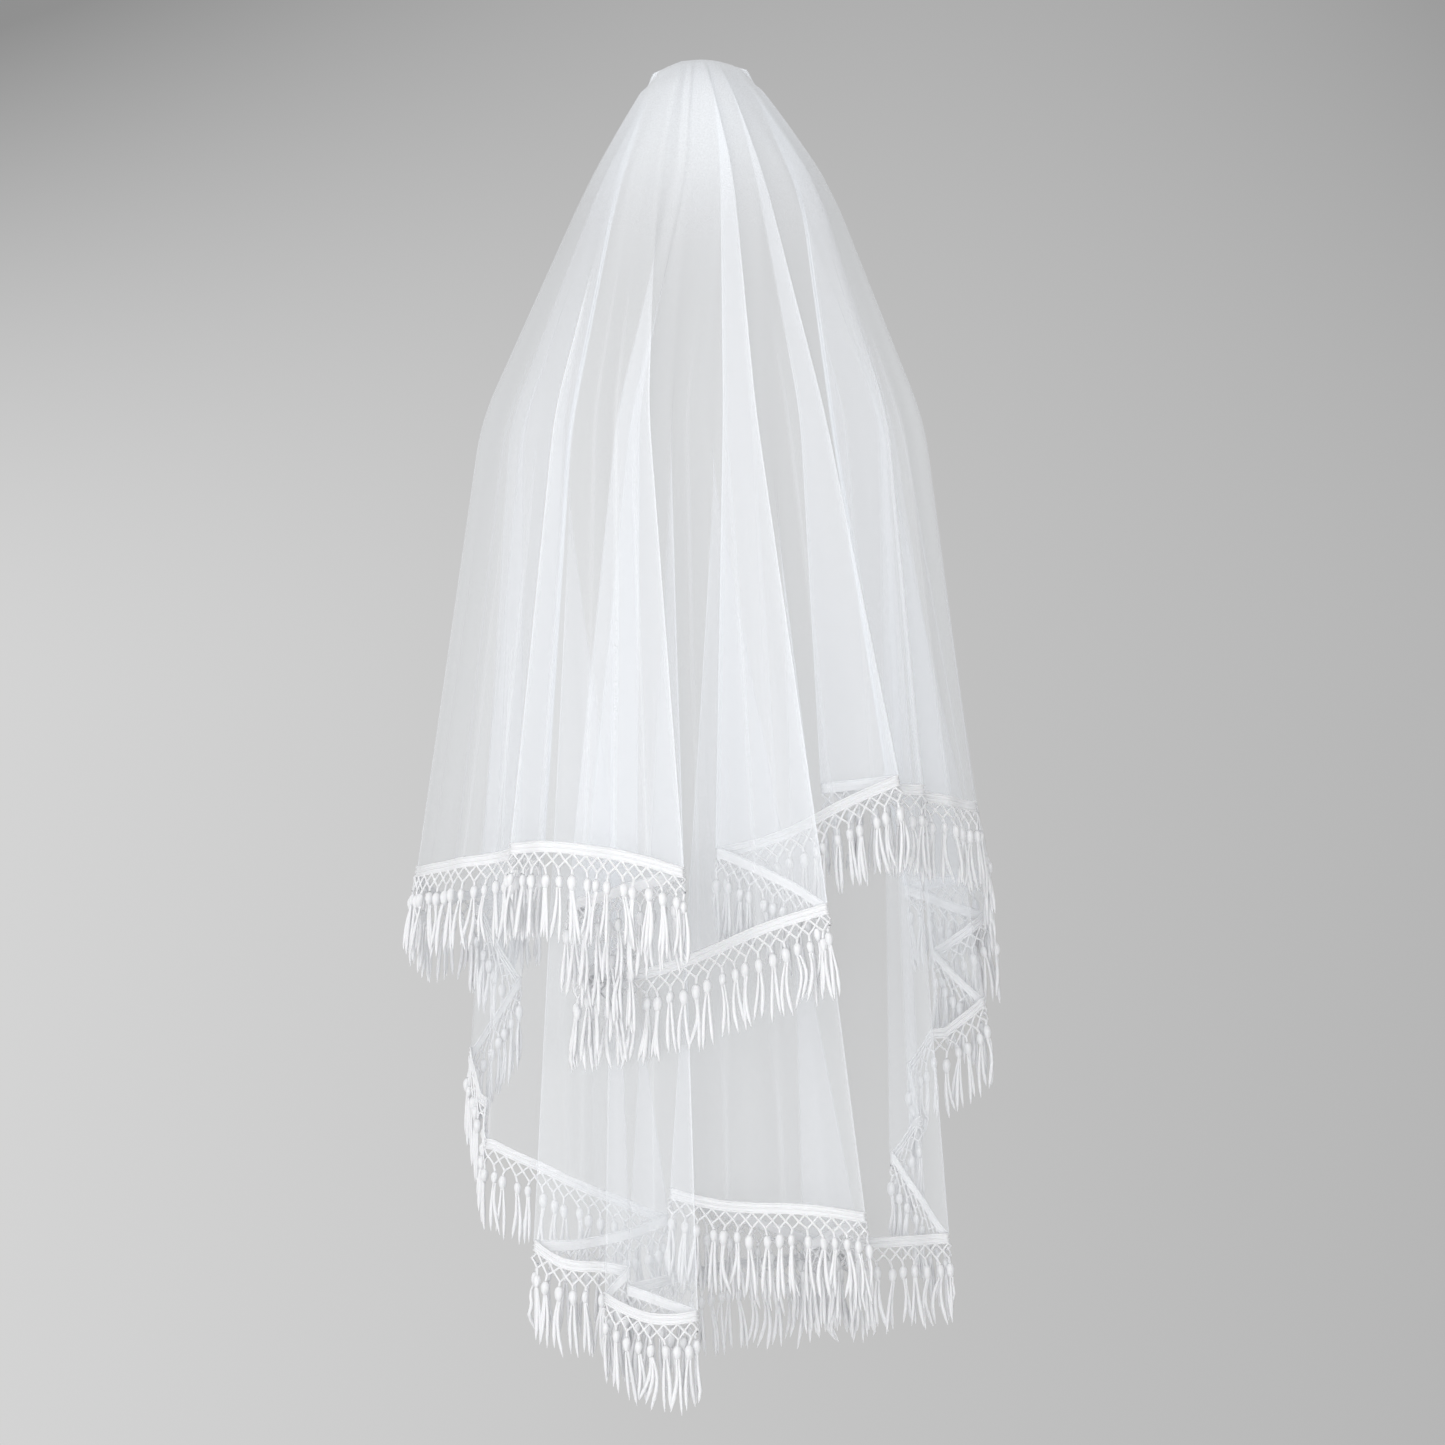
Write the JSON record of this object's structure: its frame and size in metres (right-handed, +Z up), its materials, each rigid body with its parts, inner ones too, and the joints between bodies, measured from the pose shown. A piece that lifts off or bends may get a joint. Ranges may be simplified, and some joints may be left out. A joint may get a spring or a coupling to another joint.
{
  "type": "bridal veil",
  "caption": "Two-tier bridal veil of soft white tulle, folded over at the crown and draped as worn, with a lattice and tassel trim along each hem.",
  "frame": {"origin": "the underside of the cloth at the middle of the crown, where it lies on the top of the head", "axes": "+Z is up, -Y is the wearer's back, and +X is the wearer's right-hand side as seen from behind in the picture"},
  "size_m": [0.5705, 0.4034, 1.2566],
  "materials": {
    "tulle": "matte",
    "trim": "satin"
  },
  "bodies": {
    "root": {"outer_tier": "tulle", "inner_tier": "tulle", "outer_fringe": "trim", "inner_fringe": "trim"}
  },
  "joints": []
}
